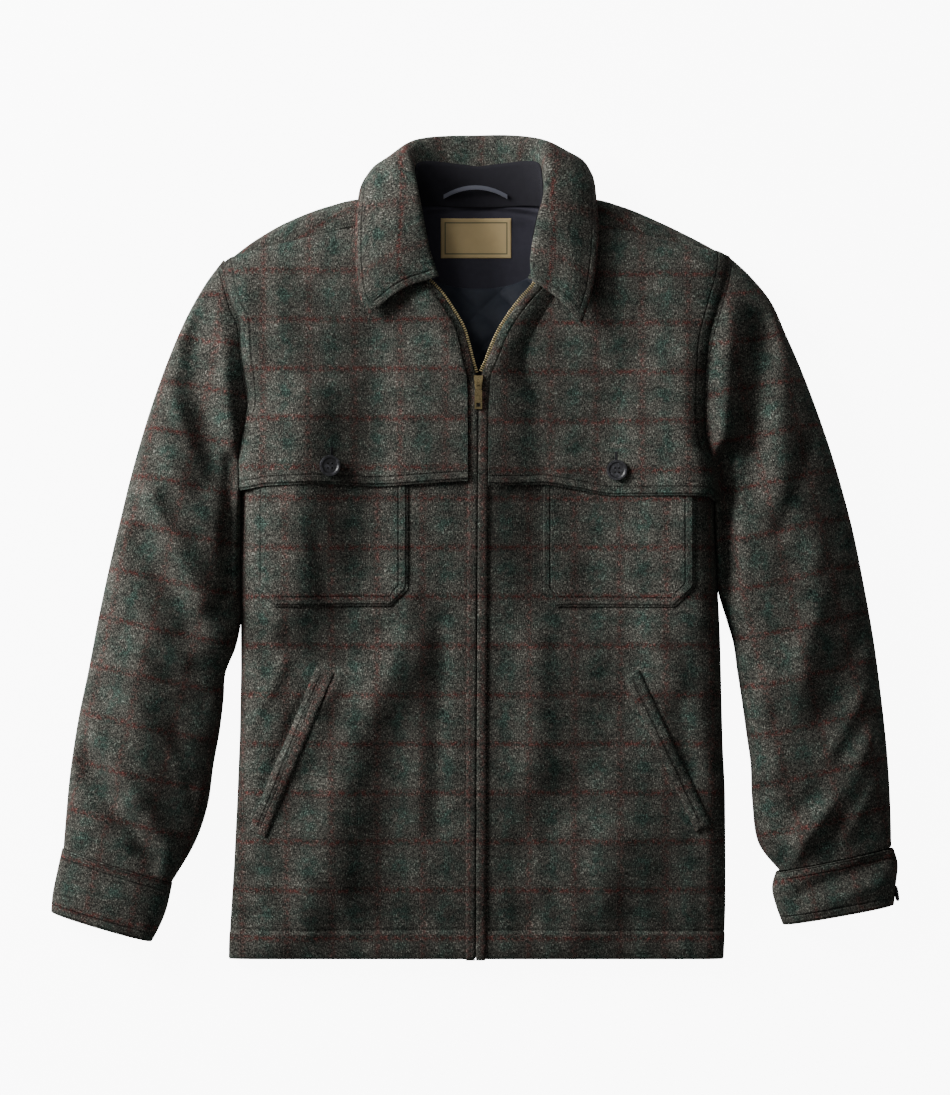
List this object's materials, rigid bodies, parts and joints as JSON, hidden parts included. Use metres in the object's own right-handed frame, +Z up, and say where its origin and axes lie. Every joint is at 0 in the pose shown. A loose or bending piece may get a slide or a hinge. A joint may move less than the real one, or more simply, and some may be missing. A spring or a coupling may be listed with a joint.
{
  "type": "shirt jacket",
  "caption": "Zipped wool shirt jacket laid flat on its back, with a pointed collar, yoke flaps over the chest pockets, slanting side pockets and quilted lining.",
  "frame": {"origin": "middle of the underside, where the jacket lies on the surface", "axes": "+X to the viewer's right across the sleeves, +Y from the hem to the collar, +Z up off the surface"},
  "size_m": [0.8522, 0.828, 0.0614],
  "materials": {
    "wool": "heathered brushed wool with a dull red windowpane check",
    "black_twill": "smooth black twill",
    "quilted_lining": "smooth dark blue quilted lining",
    "label_cloth": "woven, bare",
    "zip_tape": "woven tape",
    "old_brass": "antique brass",
    "dark_button": "mottled dark, half gloss"
  },
  "bodies": {
    "jacket": {"back": "wool", "button_left": "dark_button", "button_right": "dark_button", "chest_pocket_left": "wool", "chest_pocket_right": "wool", "collar": "wool", "cuff_button": "dark_button", "cuff_left": "wool", "cuff_right": "wool", "front_left": "wool", "front_right": "wool", "hanger_loop": "black_twill", "label": "label_cloth", "lining": "quilted_lining", "neck_band": "black_twill", "neck_facing": "black_twill", "placket_left": "wool", "placket_right": "wool", "sleeve_left": "wool", "sleeve_right": "wool", "welt_left": "wool", "welt_right": "wool", "yoke_left": "wool", "yoke_right": "wool", "zip_slider": "old_brass", "zip_tape_left": "zip_tape", "zip_tape_right": "zip_tape", "zip_teeth_left": "old_brass", "zip_teeth_right": "old_brass"},
    "pull_tab": {"zip_pull": "old_brass"}
  },
  "joints": [
    {"name": "pull_tab_hinge", "type": "hinge", "parent": "jacket", "child": "pull_tab", "pos_m": [0.00334, 0.16209, 0.05027], "axis": [-1, 0, 0], "range_deg": [0, 160]}
  ]
}
